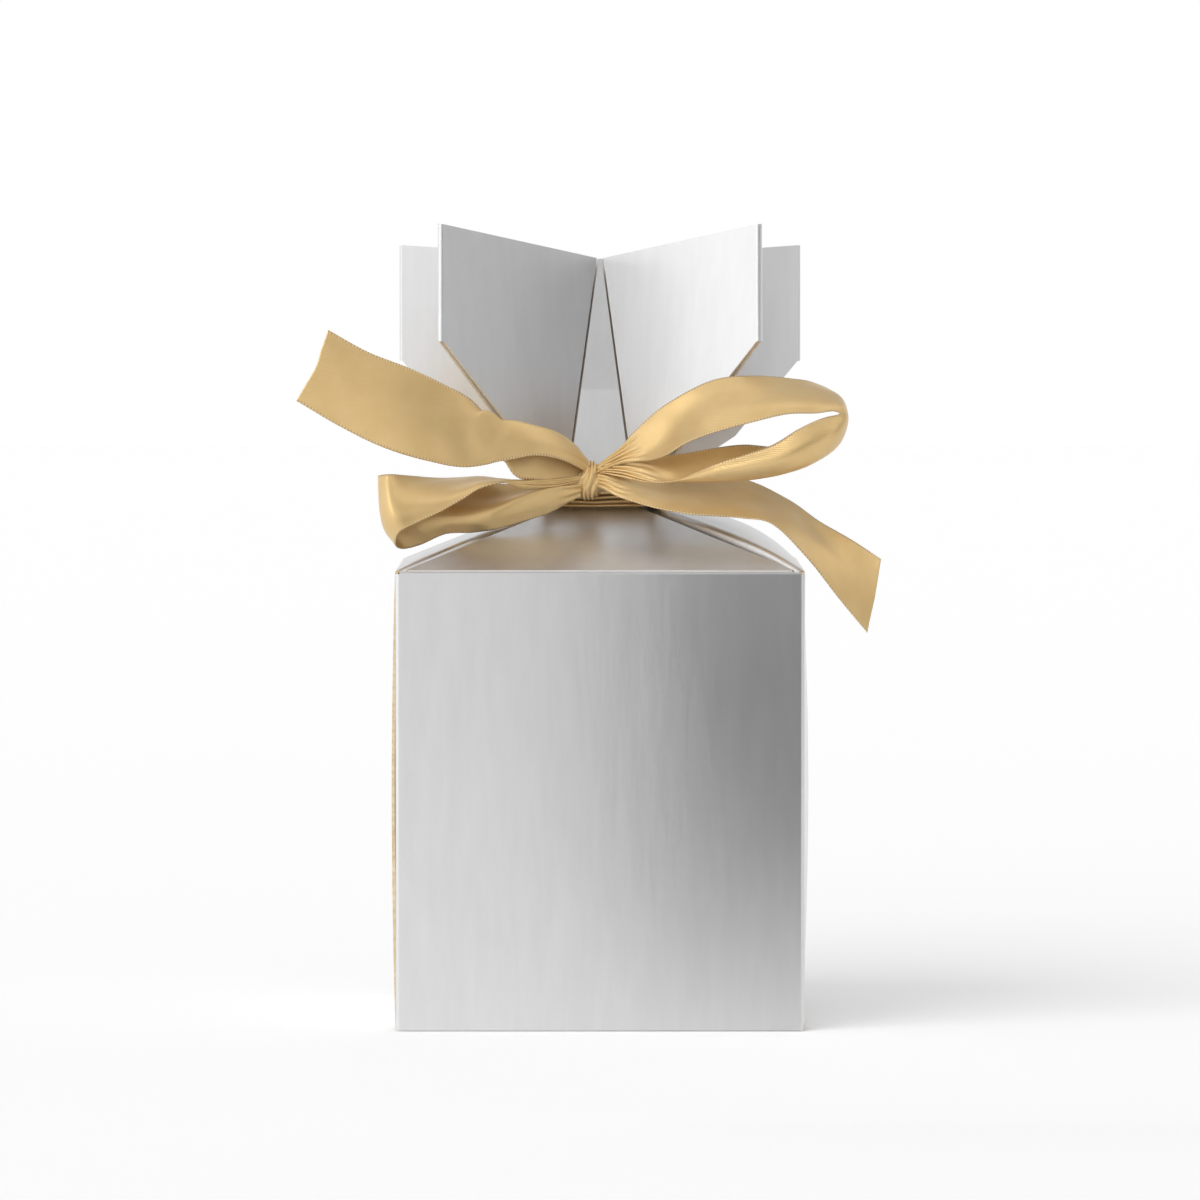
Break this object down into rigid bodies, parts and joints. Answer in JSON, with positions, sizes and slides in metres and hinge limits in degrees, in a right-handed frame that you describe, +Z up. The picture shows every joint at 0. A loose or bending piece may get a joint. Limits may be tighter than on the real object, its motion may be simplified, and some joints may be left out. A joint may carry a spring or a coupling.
{
  "type": "favor box",
  "caption": "Square folded carton pinched to a neck, with a crown of folded petals above it, tied with a satin ribbon bow; its bottom panel and flaps open.",
  "frame": {"origin": "on the floor, under the middle of the square body", "axes": "+Z up through the neck, front wall and bow facing -Y, +X to the right seen from the front"},
  "size_m": [0.0863, 0.06, 0.1183],
  "materials": {
    "silver_board": "satin silver foil on card, fine fibre mottling",
    "board_inside": "plain uncoated inside of the card",
    "gold_satin": "soft gold satin with a fine cross rib"
  },
  "bodies": {
    "carton": {"front_wall": "silver_board", "right_wall": "silver_board", "back_wall": "silver_board", "left_wall": "silver_board", "seam_flap": "board_inside", "front_roof": "silver_board", "right_roof": "silver_board", "back_roof": "silver_board", "left_roof": "silver_board", "gusset_front_left_a": "silver_board", "gusset_front_left_b": "silver_board", "gusset_front_right_a": "silver_board", "gusset_front_right_b": "silver_board", "gusset_back_left_a": "silver_board", "gusset_back_left_b": "silver_board", "gusset_back_right_a": "silver_board", "gusset_back_right_b": "silver_board", "front_spire": "silver_board", "right_spire": "silver_board", "back_spire": "silver_board", "left_spire": "silver_board", "ribbon_band": "gold_satin", "ribbon_knot": "gold_satin", "ribbon_left_loop": "gold_satin", "ribbon_right_loop": "gold_satin", "ribbon_left_tail": "gold_satin", "ribbon_right_tail": "gold_satin"},
    "bottom": {"bottom_panel": "silver_board"},
    "tuck": {"tuck_flap": "board_inside"},
    "dust_left": {"left_dust_flap": "board_inside"},
    "dust_right": {"right_dust_flap": "board_inside"},
    "petal_fl": {"petal_front_left_a": "silver_board", "petal_front_left_b": "silver_board"},
    "petal_fr": {"petal_front_right_a": "silver_board", "petal_front_right_b": "silver_board"},
    "petal_bl": {"petal_back_left_a": "silver_board", "petal_back_left_b": "silver_board"},
    "petal_br": {"petal_back_right_a": "silver_board", "petal_back_right_b": "silver_board"}
  },
  "joints": [
    {"name": "bottom_hinge", "type": "hinge", "parent": "carton", "child": "bottom", "pos_m": [0, 0.02977, 0.00022], "axis": [1, 0, 0], "range_deg": [0, 120]},
    {"name": "tuck_hinge", "type": "hinge", "parent": "bottom", "child": "tuck", "pos_m": [0, -0.02902, 0.00022], "axis": [-1, 0, 0], "range_deg": [0, 15]},
    {"name": "left_dust_hinge", "type": "hinge", "parent": "carton", "child": "dust_left", "pos_m": [-0.02977, 0, 0.00088], "axis": [0, 1, 0], "range_deg": [0, 90]},
    {"name": "right_dust_hinge", "type": "hinge", "parent": "carton", "child": "dust_right", "pos_m": [0.02977, 0, 0.00088], "axis": [0, -1, 0], "range_deg": [0, 90]},
    {"name": "petal_front_left_hinge", "type": "hinge", "parent": "carton", "child": "petal_fl", "pos_m": [-0.00633, -0.00643, 0.0762], "axis": [0.1484, 0.2506, 0.9566], "range_deg": [-8, 8]},
    {"name": "petal_front_right_hinge", "type": "hinge", "parent": "carton", "child": "petal_fr", "pos_m": [0.00633, -0.00643, 0.0762], "axis": [0.1484, -0.2506, -0.9566], "range_deg": [-8, 8]},
    {"name": "petal_back_left_hinge", "type": "hinge", "parent": "carton", "child": "petal_bl", "pos_m": [-0.00672, 0.0064, 0.0762], "axis": [0.1635, -0.0323, 0.986], "range_deg": [-8, 8]},
    {"name": "petal_back_right_hinge", "type": "hinge", "parent": "carton", "child": "petal_br", "pos_m": [0.00672, 0.0064, 0.0762], "axis": [0.1635, 0.0323, -0.986], "range_deg": [-8, 8]}
  ],
  "couplings": [
    {"joint": "left_dust_hinge", "follows": "bottom_hinge", "ratio": 0.75},
    {"joint": "right_dust_hinge", "follows": "bottom_hinge", "ratio": 0.75}
  ]
}
